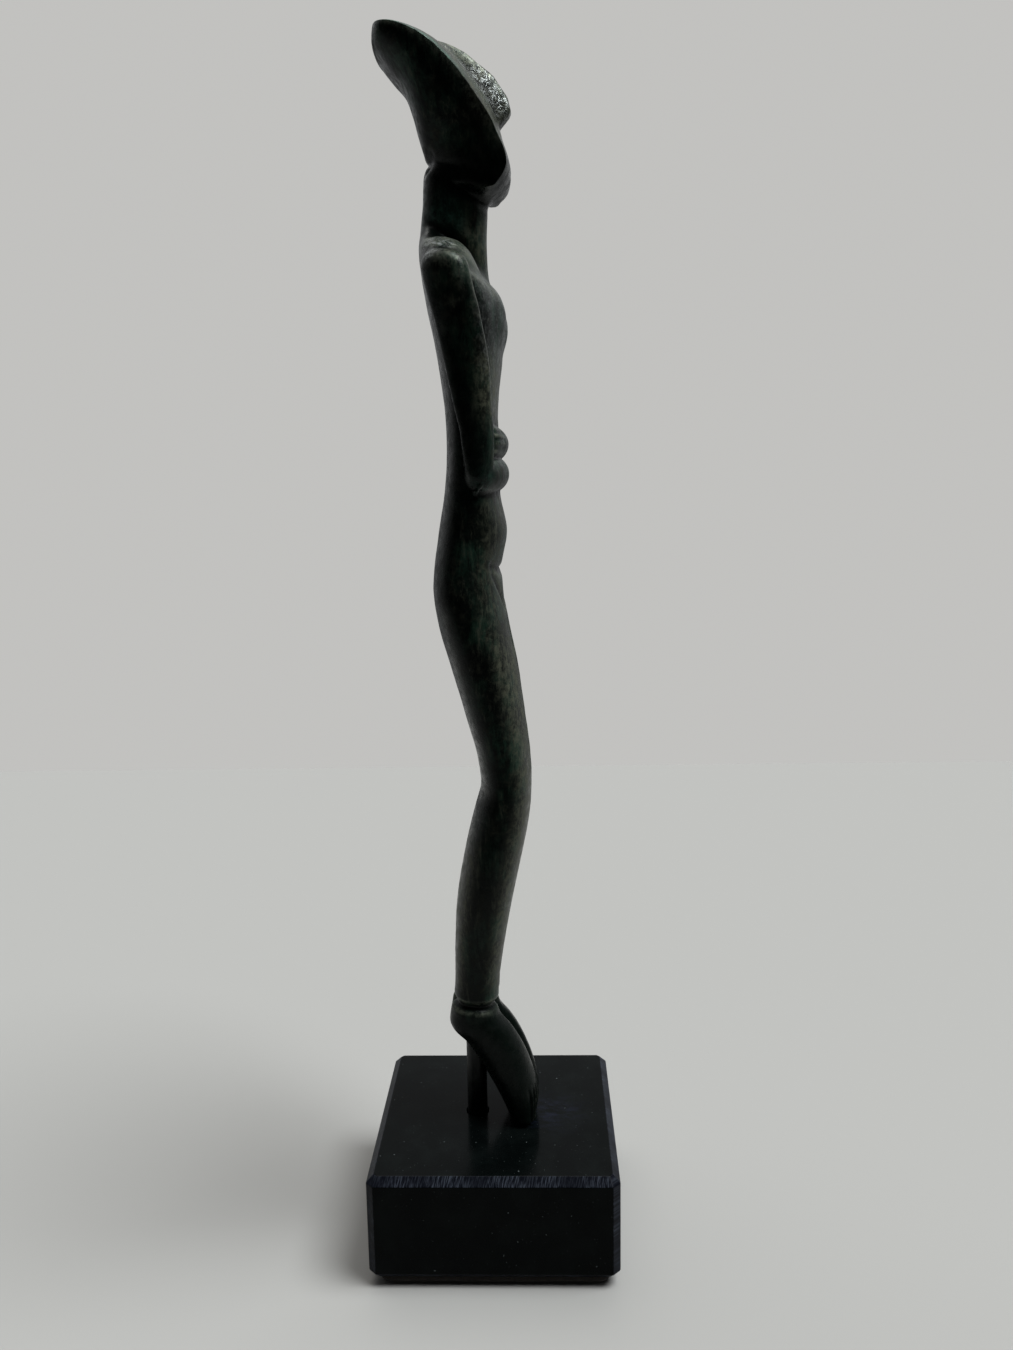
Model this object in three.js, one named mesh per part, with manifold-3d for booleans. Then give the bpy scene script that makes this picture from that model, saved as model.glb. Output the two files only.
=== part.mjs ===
// A folded-arm idol cast in bronze, held by a rod above a square stone block with a felt pad.
// Millimetres, +Z up. The figure faces -Y and its right side is at -X.
// The origin is the middle of the pad's underside, where the piece stands.
import * as THREE from 'three';
import { mergeVertices } from 'three/addons/utils/BufferGeometryUtils.js';
import Module from 'manifold-3d';

// Driving dimensions
const figureHeight = 215.8;   // toe tips to crown
const stoneWidth = 50;        // along X
const stoneDepth = 50;        // along Y
const stoneHeight = 21.9;
const stoneChamfer = 1.5;     // on every edge of the stone
const padThickness = 1.6;
const padInset = 1.6;         // pad's edge inside the stone's edge
const rodDiameter = 4.3;
const rodSeat = 12;           // depth of the rod's hole in the stone
const rodGrip = 7;            // length of rod inside the figure, above the sole
const rodClearance = 0.3;     // round the rod, in the figure and in the stone
const toeGap = 0.3;           // toe tips above the stone

// Heights that follow from the sizes above
const stoneTop = padThickness + stoneHeight;
const toeLevel = stoneTop + toeGap;

// The figure is drawn once, this tall, and grows or shrinks as a whole with figureHeight.
// In the drawing a point is (right, forward, height), with height 0 at the toe tips.
const drawnHeight = 215.8;
const growth = figureHeight / drawnHeight;
const anglesRound = 54;
const capSlices = 3;
const rodAxisForward = -4.1;  // the rod meets the soles this far behind the middle of the stone

// Rungs of the body from crown to toes. A rung is one slice seen from the side: it runs from a
// point on the back to a point on the front. Then come the half width, how far forward along the
// rung the slice is widest, how square it is, how sharp the face's edge is, and the number of
// slices down to the next rung.
const bodyRungs = [
  // name, back forward, back height, front forward, front height, half width, widest, square, edge, slices
  ['crown', -18.2, 211.0, -16.9, 215.6, 11.5, 0.66, 2.5, 0.9, 2],
  ['high brow', -16.1, 208.3, -12.3, 215.2, 12.6, 0.67, 2.4, 0.9, 2],
  ['brow', -13.7, 205.3, -7.4, 213.3, 13.3, 0.70, 2.3, 1.0, 3],
  ['nose bridge', -12.0, 201.1, -1.4, 207.6, 13.3, 0.77, 2.3, 1.0, 3],
  ['nose tip', -10.9, 196.9, 3.0, 201.6, 12.1, 0.82, 2.3, 1.0, 2],
  ['mouth', -10.1, 194.1, 4.8, 196.1, 10.3, 0.92, 2.3, 1.0, 2],
  ['jaw', -9.7, 193.0, 5.9, 189.3, 8.8, 0.965, 2.3, 0.95, 1],
  ['chin', -9.3, 192.4, 4.7, 187.6, 8.1, 0.96, 2.2, 0.8, 2],
  ['throat', -9.9, 191.6, 2.7, 186.1, 7.4, 0.9, 2.1, 0.4, 1],
  ['under jaw', -10.2, 190.8, 1.9, 185.0, 6.1, 0.5, 2.0, 0, 1],
  ['neck top', -10.4, 188.7, 1.6, 182.7, 6.0, 0.5, 2.0, 0, 1],
  ['neck', -10.6, 185.1, 1.4, 176.3, 6.1, 0.5, 2.0, 0, 2],
  ['neck base', -11.0, 181.7, 1.8, 171.0, 6.6, 0.5, 2.0, 0, 1],
  ['collar', -11.2, 179.6, 2.4, 169.6, 10.5, 0.5, 2.1, 0, 2],
  ['shoulder top', -11.3, 177.2, 3.0, 168.3, 17.4, 0.5, 2.2, 0, 2],
  ['shoulder', -11.2, 174.6, 3.6, 167.0, 21.1, 0.5, 2.3, 0, 1],
  ['upper arm', -10.9, 171.8, 4.1, 165.3, 21.8, 0.5, 2.3, 0, 2],
  ['breast', -10.2, 167.1, 4.4, 162.9, 21.2, 0.5, 2.4, 0, 2],
  ['ribs', -8.7, 158.9, 3.9, 157.3, 19.2, 0.5, 2.4, 0, 3],
  ['midriff', -7.2, 147.7, 2.9, 147.7, 17.2, 0.5, 2.4, 0, 5],
  ['elbow', -7.0, 138.3, 2.9, 138.3, 16.2, 0.5, 2.4, 0, 5],
  ['waist', -7.6, 131.7, 3.0, 131.7, 15.0, 0.5, 2.4, 0, 2],
  ['belly', -9.0, 123.9, 4.3, 123.9, 14.8, 0.5, 2.4, 0, 3],
  ['loin', -10.0, 117.5, 3.2, 117.5, 15.6, 0.5, 2.4, 0, 3],
  ['hip', -10.3, 112.7, 3.3, 112.7, 16.4, 0.5, 2.4, 0, 2],
  ['seat', -9.6, 106.7, 4.2, 106.7, 16.4, 0.5, 2.4, 0, 2],
  ['thigh', -7.1, 96.9, 6.1, 96.9, 15.2, 0.5, 2.4, 0, 2],
  ['low thigh', -4.4, 87.0, 7.4, 87.0, 13.7, 0.5, 2.4, 0, 1],
  ['above knee', -2.3, 78.5, 8.4, 78.5, 12.5, 0.5, 2.4, 0, 1],
  ['knee', -1.8, 73.3, 8.6, 73.3, 12.1, 0.5, 2.4, 0, 1],
  ['below knee', -3.4, 67.1, 8.1, 67.1, 11.9, 0.5, 2.4, 0, 2],
  ['calf', -5.6, 58.3, 6.4, 58.3, 11.6, 0.5, 2.4, 0, 2],
  ['low calf', -7.3, 48.5, 4.3, 48.5, 10.5, 0.5, 2.4, 0, 2],
  ['shin', -8.0, 38.8, 2.5, 38.8, 8.7, 0.5, 2.4, 0, 2],
  ['ankle', -8.5, 28.1, 1.2, 27.7, 7.1, 0.5, 2.4, 0, 4],
  ['foot top', -9.2, 24.5, 1.3, 23.5, 7.2, 0.5, 2.5, 0, 1],
  ['heel', -9.5, 21.5, 3.5, 20.7, 7.4, 0.5, 2.6, 0, 2],
  ['arch', -6.6, 17.9, 6.0, 16.5, 7.3, 0.5, 2.6, 0, 1],
  ['sole', -3.0, 12.5, 8.2, 10.7, 7.3, 0.5, 2.6, 0, 1],
  ['toes', 0.7, 5.5, 9.2, 4.7, 7.4, 0.5, 2.6, 0, 1],
  ['toe end', 2.4, 1.9, 8.7, 1.3, 7.4, 0.5, 2.8, 0, 0],
];

// Rounding of the two ends, in drawn millimetres
const crownCap = 1.0;         // the blunt edge of the crown
const crownRound = 5;         // the crown's corners, seen from the front
const toeCap = 1.7;
const capPower = 2.6;
const crownPower = 4;
const toePower = 5;           // toes stay broad down to their tips

// Carving, as paths over the body and heights over it, in drawn millimetres
const armRaise = 2.0;
const armRadius = 4.3;
const armTaper = 0.9;         // the upper arm is this much slimmer at the elbow
const armFadeTop = 174.5;     // under the shoulder cap the arm rises to its full height
const armFadeLow = 170.5;
const elbowRadius = 2.7;      // the elbow's corner, which points back and down
const elbowTaper = 1.3;
const forearmRaise = 2.0;
const rightForearmRadius = 3.1;
const leftForearmRadius = 2.9;
const breastRaise = 0.85;
const breastRadius = 7.6;
const shoulderRaise = 2.9;    // the rounded top of each shoulder, beside the neck
const shoulderRadius = 8.0;
const forearmStart = -0.3;    // sine of the angle round the body where the forearms begin
const creaseDepth = 0.9;
const creaseWidth = 1.0;
const groinDepth = 0.8;
const groinWidth = 0.9;
const cleftDepth = 1.9;
const cleftWidth = 1.1;
const frontCleftTop = 109;
const frontCleftFull = 100;   // full depth from here down
const backCleftTop = 116;
const backCleftFull = 108;
const toeFade = 8;            // behind, the cleft fades out this far above the toe tips
const spineDepth = 0.7;
const spineTop = 181;
const spineTopFull = 174;
const spineLowFull = 126;
const spineLow = 118;
const ankleDepth = 1.0;
const ankleWidth = 0.8;
const ankleLevel = 26.3;
const ankleTilt = 0.09;       // the groove drops this much for each step forward
const noseStart = new THREE.Vector3(0, -10.0, 215.3);
const noseEnd = new THREE.Vector3(0, 3.6, 200.1);

const elbowPath = (side) => pathOf([
  [side * 16.3, 1.0, 134.2],
  [side * 16.0, -0.6, 131.7],
]);
const upperArmPath = (side) => pathOf([
  [side * 21.2, -6.5, 172.1],
  [side * 20.6, -3.8, 163.1],
  [side * 18.4, -1.5, 153.1],
  [side * 16.9, 0.3, 143.1],
  [side * 16.2, 0.7, 135.6],
]);
const rightForearmPath = pathOf([
  [-15.8, 0.4, 134.5],
  [-12.0, 2.0, 134.6],
  [-5.0, 3.0, 135.1],
  [4.0, 3.0, 135.1],
  [11.5, 2.4, 135.3],
]);
const leftForearmPath = pathOf([
  [15.8, -0.6, 140.3],
  [12.0, 2.0, 140.7],
  [5.0, 3.0, 140.9],
  [-4.0, 3.0, 140.9],
  [-11.5, 2.4, 141.1],
]);
const creasePath = pathOf([
  [-11.0, 1.0, 117.7],
  [-5.0, 2.6, 116.7],
  [0, 3.0, 116.3],
  [5.0, 2.6, 116.7],
  [11.0, 1.0, 117.7],
]);
const groinPath = (side) => pathOf([
  [side * 10.5, 1.2, 115.7],
  [side * 5.5, 3.0, 112.1],
  [0, 3.9, 108.1],
]);
const breastPoint = (side) => new THREE.Vector3(side * 8, 4.2, 164.5);
const armPaths = [upperArmPath(-1), upperArmPath(1)];
const elbowPaths = [elbowPath(-1), elbowPath(1)];
const groinPaths = [groinPath(-1), groinPath(1)];
const breastPoints = [breastPoint(-1), breastPoint(1)];
const shoulderPoints = [-1, 1].map((side) => new THREE.Vector3(side * 12.5, -2.6, 176.0));

// Small helpers
function pathOf(points) {
  // straight pieces from point to point
  const corners = points.map((point) => new THREE.Vector3(...point));
  return corners.slice(1).map((end, index) => new THREE.Line3(corners[index], end));
}

function nearestOnPath(point, path) {
  // distance from the point to the path, and how far along the path that is, from 0 to 1
  const foot = new THREE.Vector3();
  let best = { distance: Infinity, share: 0 };
  path.forEach((piece, index) => {
    const along = piece.closestPointToPointParameter(point, true);
    piece.at(along, foot);
    const distance = foot.distanceTo(point);
    if (distance < best.distance) {
      best = { distance, share: (index + along) / path.length };
    }
  });
  return best;
}

function dome(distance, radius, power) {
  // 1 on the path, falling to 0 at the radius
  return Math.pow(Math.max(0, 1 - (distance / radius) ** 2), power);
}

function groove(distance, width) {
  return Math.exp(-((distance / width) ** 2));
}

function between(low, high, value) {
  // 0 at low, 1 at high, smooth on the way, also when low is the larger number
  return THREE.MathUtils.smoothstep((value - low) / (high - low), 0, 1);
}

function blendTable(table, share) {
  // straight lines through [share, value] pairs
  const next = table.findIndex((pair) => pair[0] >= share);
  if (next <= 0) {
    return table[0][1];
  }
  const [s0, v0] = table[next - 1];
  const [s1, v1] = table[next];
  return v0 + (v1 - v0) * (share - s0) / (s1 - s0);
}

// The body as a smooth run of slices through the rungs
const rungValues = bodyRungs.map((rung) => rung.slice(1, 9));
const rungSlices = bodyRungs.map((rung) => rung[9]);
const rungMiddles = rungValues.map((v) => new THREE.Vector2((v[0] + v[2]) / 2, (v[1] + v[3]) / 2));
const rungPlaces = [0];
for (let i = 1; i < rungMiddles.length; i += 1) {
  rungPlaces.push(rungPlaces[i - 1] + rungMiddles[i].distanceTo(rungMiddles[i - 1]));
}
const bodyLength = rungPlaces[rungPlaces.length - 1];

function rungSlope(index, column) {
  // slope of one column at a rung, from the rungs before and after it
  const last = rungValues.length - 1;
  const rise = (a, b) => (rungValues[b][column] - rungValues[a][column]) / (rungPlaces[b] - rungPlaces[a]);
  if (index === 0) {
    return rise(0, 1);
  }
  if (index === last) {
    return rise(last - 1, last);
  }
  const before = rungPlaces[index] - rungPlaces[index - 1];
  const after = rungPlaces[index + 1] - rungPlaces[index];
  return (rise(index - 1, index) * after + rise(index, index + 1) * before) / (before + after);
}

function sliceValues(place) {
  // the rung table read at any place along the body, by cubic curves through the rungs
  const held = THREE.MathUtils.clamp(place, 0, bodyLength);
  let i = rungPlaces.findIndex((mark) => mark > held) - 1;
  if (i < 0) {
    i = rungPlaces.length - 2;
  }
  const span = rungPlaces[i + 1] - rungPlaces[i];
  const s = (held - rungPlaces[i]) / span;
  return rungValues[i].map((value, column) => {
    const start = value * (1 + 2 * s) * (1 - s) ** 2;
    const end = rungValues[i + 1][column] * s * s * (3 - 2 * s);
    const leave = rungSlope(i, column) * span * s * (1 - s) ** 2;
    const arrive = rungSlope(i + 1, column) * span * s * s * (s - 1);
    return start + end + leave + arrive;
  });
}

function roundOff(share, power) {
  return Math.pow(Math.max(0, 1 - share ** power), 1 / power);
}

const lastRung = rungMiddles.length - 1;
const upward = rungMiddles[0].clone().sub(rungMiddles[1]).normalize();
const downward = rungMiddles[lastRung].clone().sub(rungMiddles[lastRung - 1]).normalize();

function bodySlice(place) {
  // one slice of the plain body, with the rounding of the two ends
  const [backF, backH, frontF, frontH, halfWidth, widest, square, edge] = sliceValues(place);
  const overCrown = Math.max(0, -place);
  const overToes = Math.max(0, place - bodyLength);
  const middle = new THREE.Vector2((backF + frontF) / 2, (backH + frontH) / 2);
  middle.addScaledVector(upward, overCrown).addScaledVector(downward, overToes);
  const crownShare = Math.min(1, overCrown / crownCap);
  const toeShare = Math.min(1, overToes / toeCap);
  const outlineShare = THREE.MathUtils.clamp(1 - (place + crownCap) / (crownCap + crownRound), 0, 1);
  const depthScale = roundOff(crownShare, capPower) * roundOff(toeShare, capPower);
  const widthScale = roundOff(outlineShare, crownPower) * roundOff(toeShare, toePower);
  const half = new THREE.Vector2((frontF - backF) / 2, (frontH - backH) / 2);
  half.multiplyScalar(depthScale);
  return { middle, half, halfWidth: halfWidth * widthScale, widest, square, edge };
}

function slicePoint(slice, angle) {
  // a point round the slice: angle 0 is the left side, a quarter turn is the front
  const { middle, half, halfWidth, widest, square, edge } = slice;
  const sideways = Math.pow(Math.abs(Math.cos(angle)), 2 / square);
  const round = Math.pow(Math.abs(Math.sin(angle)), 2 / square);
  const widestAt = 2 * widest - 1;
  const shield = (1 - edge) * round + edge * (1 - sideways ** 2);
  const isFront = Math.sin(angle) >= 0;
  const along = isFront ? widestAt + (2 - 2 * widest) * shield : widestAt - 2 * widest * round;
  return new THREE.Vector3(
    halfWidth * Math.sign(Math.cos(angle)) * sideways,
    middle.x + half.x * along,
    middle.y + half.y * along,
  );
}

// Carving over the plain body
function armHeight(point, frontness) {
  const shown = between(armFadeTop, armFadeLow, point.z);
  const upper = armPaths.map((path) => {
    const near = nearestOnPath(point, path);
    return armRaise * shown * dome(near.distance, armRadius - armTaper * near.share, 0.5);
  });
  const elbows = elbowPaths.map((path) => {
    const near = nearestOnPath(point, path);
    return armRaise * dome(near.distance, elbowRadius - elbowTaper * near.share, 0.5);
  });
  const outer = Math.max(...upper, ...elbows);
  if (frontness < forearmStart) {
    return outer;
  }
  const right = dome(nearestOnPath(point, rightForearmPath).distance, rightForearmRadius, 0.7);
  const left = dome(nearestOnPath(point, leftForearmPath).distance, leftForearmRadius, 0.7);
  return Math.max(outer, forearmRaise * right, forearmRaise * left);
}

function breastHeight(point) {
  const shapes = breastPoints.map((centre) => dome(centre.distanceTo(point), breastRadius, 2));
  return breastRaise * (shapes[0] + shapes[1]);
}

function shoulderHeight(point) {
  const shapes = shoulderPoints.map((centre) => dome(centre.distanceTo(point), shoulderRadius, 2));
  return shoulderRaise * (shapes[0] + shapes[1]);
}

function lapDepth(point) {
  const crease = creaseDepth * groove(nearestOnPath(point, creasePath).distance, creaseWidth);
  const groins = groinPaths.map((path) => groove(nearestOnPath(point, path).distance, groinWidth));
  return crease + groinDepth * (groins[0] + groins[1]);
}

function middleDepth(point, frontness) {
  // the cleft between the legs, in front and behind, and the groove of the spine
  const line = groove(point.x, cleftWidth);
  if (frontness > 0) {
    return cleftDepth * line * between(frontCleftTop, frontCleftFull, point.z);
  }
  const aboveToes = between(0, toeFade, point.z);
  const cleft = cleftDepth * between(backCleftTop, backCleftFull, point.z) * aboveToes;
  const nape = between(spineTop, spineTopFull, point.z);
  const spine = spineDepth * nape * between(spineLow, spineLowFull, point.z);
  return (cleft + spine) * line;
}

function ankleGroove(point) {
  const level = ankleLevel - ankleTilt * (point.y - rodAxisForward);
  return ankleDepth * groove(point.z - level, ankleWidth);
}

const noseRidge = [[0, 0], [0.2, 1.2], [0.4, 2.5], [0.7, 3.4], [0.9, 3.5], [1.0, 3.0], [1.07, 0]];
const noseLast = noseRidge[noseRidge.length - 1][0];
const noseHalfTop = 1.6;
const noseHalfTip = 3.1;

function noseHeight(point, frontness) {
  const line = noseEnd.clone().sub(noseStart);
  const share = point.clone().sub(noseStart).dot(line) / line.lengthSq();
  if (frontness <= 0 || share <= 0 || share >= noseLast) {
    return 0;
  }
  const half = noseHalfTop + (noseHalfTip - noseHalfTop) * Math.min(1, share);
  const flank = Math.min(1, 1.5 * Math.max(0, 1 - Math.abs(point.x) / half));
  return blendTable(noseRidge, share) * flank * flank * (3 - 2 * flank);
}

function carving(point, frontness) {
  const raised = armHeight(point, frontness) + breastHeight(point) + shoulderHeight(point)
    + noseHeight(point, frontness);
  return raised - lapDepth(point) - middleDepth(point, frontness) - ankleGroove(point);
}

// The figure's surface as one closed mesh
function slicePlaces() {
  const places = [];
  for (let k = 1; k <= capSlices; k += 1) {
    places.push(-crownCap * (1 - (k / (capSlices + 1)) ** 2));
  }
  rungSlices.forEach((count, index) => {
    const start = rungPlaces[index];
    const span = (rungPlaces[index + 1] ?? start) - start;
    for (let k = 0; k < Math.max(1, count); k += 1) {
      places.push(start + span * k / Math.max(1, count));
    }
  });
  for (let k = capSlices; k >= 1; k -= 1) {
    places.push(bodyLength + toeCap * (1 - (k / (capSlices + 1)) ** 2));
  }
  return places;
}

function figureGeometry() {
  const places = slicePlaces();
  const rows = places.map((place) => {
    const slice = bodySlice(place);
    const row = [];
    for (let k = 0; k < anglesRound; k += 1) {
      row.push(slicePoint(slice, 2 * Math.PI * k / anglesRound));
    }
    return row;
  });
  const carved = rows.map((row, i) => row.map((point, k) => {
    const above = rows[Math.max(0, i - 1)][k];
    const below = rows[Math.min(rows.length - 1, i + 1)][k];
    const onward = row[(k + 1) % anglesRound];
    const back = row[(k + anglesRound - 1) % anglesRound];
    const across = onward.clone().sub(back);
    const normal = below.clone().sub(above).cross(across).normalize();
    const frontness = Math.sin(2 * Math.PI * k / anglesRound);
    return point.clone().addScaledVector(normal, carving(point, frontness));
  }));
  const ends = [bodySlice(-crownCap), bodySlice(bodyLength + toeCap)];
  const tips = ends.map((slice) => slicePoint(slice, 0).setX(0));
  const all = [...carved.flat(), ...tips];
  const lowest = Math.min(...all.map((point) => point.z));
  const positions = all.flatMap((p) => [
    p.x * growth,
    -p.y * growth,
    toeLevel + (p.z - lowest) * growth,
  ]);
  const faces = [];
  const crownTip = carved.length * anglesRound;
  for (let i = 0; i < carved.length - 1; i += 1) {
    for (let k = 0; k < anglesRound; k += 1) {
      const a = i * anglesRound + k;
      const b = i * anglesRound + (k + 1) % anglesRound;
      faces.push(a, b, a + anglesRound);
      faces.push(b, b + anglesRound, a + anglesRound);
    }
  }
  for (let k = 0; k < anglesRound; k += 1) {
    const next = (k + 1) % anglesRound;
    const lastRow = (carved.length - 1) * anglesRound;
    faces.push(crownTip, next, k);
    faces.push(crownTip + 1, lastRow + k, lastRow + next);
  }
  const geometry = new THREE.BufferGeometry();
  geometry.setAttribute('position', new THREE.Float32BufferAttribute(positions, 3));
  geometry.setIndex(faces);
  return { geometry, lowest };
}

// Solids from meshes, joined and cut
const wasm = await Module();
wasm.setup();

function toSolid(geometry) {
  const bare = geometry.clone();
  bare.deleteAttribute('normal');
  bare.deleteAttribute('uv');
  const merged = mergeVertices(bare, 1e-5);
  const vertProperties = new Float32Array(merged.attributes.position.array);
  const triVerts = new Uint32Array(merged.index.array);
  return new wasm.Manifold(new wasm.Mesh({ numProp: 3, vertProperties, triVerts }));
}

function toGeometry(solid) {
  const mesh = solid.getMesh();
  const geometry = new THREE.BufferGeometry();
  geometry.setAttribute('position', new THREE.Float32BufferAttribute(mesh.vertProperties, 3));
  geometry.setIndex([...mesh.triVerts]);
  geometry.computeVertexNormals();
  return geometry;
}

// The rod and its two holes share one axis
const rodY = -rodAxisForward * growth;
const rodSides = 32;

function uprightCylinder(radius, low, high) {
  const geometry = new THREE.CylinderGeometry(radius, radius, high - low, rodSides);
  geometry.rotateX(Math.PI / 2);
  geometry.translate(0, rodY, (low + high) / 2);
  return geometry;
}

function soleHeightAt(forward) {
  // height of the soles' line, drawn between the arch and sole rungs
  const arch = bodyRungs.find((rung) => rung[0] === 'arch');
  const sole = bodyRungs.find((rung) => rung[0] === 'sole');
  return arch[2] + (sole[2] - arch[2]) * (forward - arch[1]) / (sole[1] - arch[1]);
}

function stoneGeometry() {
  // a square with its corners cut, extruded with one flat bevel above and below
  const x = stoneWidth / 2;
  const y = stoneDepth / 2;
  const c = stoneChamfer;
  const outline = new THREE.Shape([
    new THREE.Vector2(x - c, -y),
    new THREE.Vector2(x, -y + c),
    new THREE.Vector2(x, y - c),
    new THREE.Vector2(x - c, y),
    new THREE.Vector2(-x + c, y),
    new THREE.Vector2(-x, y - c),
    new THREE.Vector2(-x, -y + c),
    new THREE.Vector2(-x + c, -y),
  ]);
  const geometry = new THREE.ExtrudeGeometry(outline, {
    depth: stoneHeight - 2 * c,
    bevelEnabled: true,
    bevelThickness: c,
    bevelSize: c,
    bevelOffset: -c,
    bevelSegments: 1,
  });
  geometry.translate(0, 0, padThickness + c);
  return geometry;
}

function padGeometry() {
  const width = stoneWidth - 2 * padInset;
  const depth = stoneDepth - 2 * padInset;
  const geometry = new THREE.BoxGeometry(width, depth, padThickness);
  geometry.translate(0, 0, padThickness / 2);
  return geometry;
}

function material(color, roughness, metalness) {
  return new THREE.MeshStandardMaterial({ color, roughness, metalness });
}

function named(name, geometry, finish) {
  const mesh = new THREE.Mesh(geometry, finish);
  mesh.name = name;
  return mesh;
}

// Assembly
const plainFigure = figureGeometry();
const soleLevel = toeLevel + (soleHeightAt(rodAxisForward) - plainFigure.lowest) * growth;
const rodFoot = stoneTop - rodSeat;
const rodTop = soleLevel + rodGrip;
const rodRadius = rodDiameter / 2;
const holeRadius = rodRadius + rodClearance;

const figureHole = toSolid(uprightCylinder(holeRadius, stoneTop, rodTop));
const figure = toSolid(plainFigure.geometry).subtract(figureHole);
const stoneHole = toSolid(uprightCylinder(holeRadius, rodFoot, stoneTop + stoneChamfer));
const stone = toSolid(stoneGeometry()).subtract(stoneHole);

const bronze = material(0x1c2a24, 0.45, 0.75);
const darkMetal = material(0x14171a, 0.4, 0.8);
const blackStone = material(0x101214, 0.12, 0);
const felt = material(0x1a1613, 0.95, 0);

const part = new THREE.Group();
part.add(named('figurine', toGeometry(figure), bronze));
part.add(named('support_rod', uprightCylinder(rodRadius, rodFoot, rodTop), darkMetal));
part.add(named('base_block', toGeometry(stone), blackStone));
part.add(named('felt_pad', padGeometry(), felt));

export default part;
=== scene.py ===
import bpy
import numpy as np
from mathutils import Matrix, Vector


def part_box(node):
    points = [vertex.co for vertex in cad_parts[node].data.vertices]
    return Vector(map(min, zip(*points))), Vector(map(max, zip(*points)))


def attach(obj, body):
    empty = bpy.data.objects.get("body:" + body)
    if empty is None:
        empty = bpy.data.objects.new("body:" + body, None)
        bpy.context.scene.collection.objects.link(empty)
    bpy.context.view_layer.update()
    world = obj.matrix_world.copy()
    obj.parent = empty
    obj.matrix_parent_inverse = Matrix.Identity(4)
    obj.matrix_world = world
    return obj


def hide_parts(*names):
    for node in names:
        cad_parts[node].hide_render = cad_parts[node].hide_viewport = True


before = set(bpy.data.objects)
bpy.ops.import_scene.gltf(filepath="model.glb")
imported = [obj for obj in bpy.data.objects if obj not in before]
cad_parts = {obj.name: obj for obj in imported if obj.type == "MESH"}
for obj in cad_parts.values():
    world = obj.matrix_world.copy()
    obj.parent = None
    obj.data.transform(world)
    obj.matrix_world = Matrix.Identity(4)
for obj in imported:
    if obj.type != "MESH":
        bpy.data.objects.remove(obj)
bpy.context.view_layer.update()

# %% [markdown]
# # A folded-arm idol on a stone block
#
# The real object is a small bronze of a very old kind of idol. It stands on tiptoe, arms folded, head
# tipped back, on a rod that rises from a polished black stone. A felt pad protects the shelf.
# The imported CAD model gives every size, so this lesson only makes the surfaces: one casting, one rod,
# one stone and one pad. Lengths are in metres, but the figure is drawn in millimetres first.

MM = 0.001


def span(node):
    """The lowest and highest corner of a CAD node, as two arrays in metres."""
    low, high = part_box(node)
    return np.array(low), np.array(high)


# %% [markdown]
# ## The camera
#
# The photograph looks at the figure's right side from about the height of its elbows, tipped a little
# down. The camera was found by fitting a pinhole camera to the chamfered corners of the stone, so its
# place, its turn and its lens are kept as real lengths and angles. The picture is 1013 by 1350 pixels.

# %% Camera
PICTURE_HEIGHT_PX = 1350
FOCAL_PX = 1098.8
SENSOR_MM = 36.0
CAMERA_PLACE = Vector((-219.6, -10.2, 154.8)) * MM
CAMERA_YAW = np.radians(-1.69)
CAMERA_PITCH = np.radians(9.28)
CAMERA_ROLL = np.radians(-0.99)


def camera_axes(yaw, pitch, roll):
    """Right, up and forward of a camera looking along +X, then turned by yaw, tipped by pitch and rolled."""
    forward = Vector((np.cos(yaw) * np.cos(pitch), -np.sin(yaw) * np.cos(pitch), -np.sin(pitch)))
    level_right = Vector((-np.sin(yaw), -np.cos(yaw), 0.0))
    level_up = level_right.cross(forward)
    right = np.cos(roll) * level_right + np.sin(roll) * level_up
    up = -np.sin(roll) * level_right + np.cos(roll) * level_up
    return right, up, forward


right_axis, up_axis, forward_axis = camera_axes(CAMERA_YAW, CAMERA_PITCH, CAMERA_ROLL)
camera_data = bpy.data.cameras.new("camera")
camera_data.sensor_fit = "AUTO"
camera_data.sensor_width = SENSOR_MM
camera_data.lens = FOCAL_PX * SENSOR_MM / PICTURE_HEIGHT_PX
camera_data.clip_start = 0.01
camera = bpy.data.objects.new("camera", camera_data)
bpy.context.scene.collection.objects.link(camera)
turn = Matrix((right_axis, up_axis, -forward_axis)).transposed()
camera.matrix_world = Matrix.Translation(CAMERA_PLACE) @ turn.to_4x4()
bpy.context.scene.camera = camera
print("lens in mm:", round(camera_data.lens, 2))

# %% [markdown]
# ## Small helpers
#
# Every surface below is a grid of points. These helpers turn a grid into a closed mesh, and give the
# few curves that shape it: a smooth step, a dome round a path and a groove along a path.


# %% Helpers for curves and grids
def smooth_step(start, end, value):
    """0 at start, 1 at end, and three times the square less twice the cube between. Start may be larger."""
    share = np.clip((value - start) / (end - start), 0.0, 1.0)
    return share * share * (3.0 - 2.0 * share)


def between(value, rise_start, rise_end, fall_start, fall_end):
    """0 before the first limit, 1 from the second to the third and 0 after the last, smooth throughout."""
    return smooth_step(rise_start, rise_end, value) * smooth_step(fall_end, fall_start, value)


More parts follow.
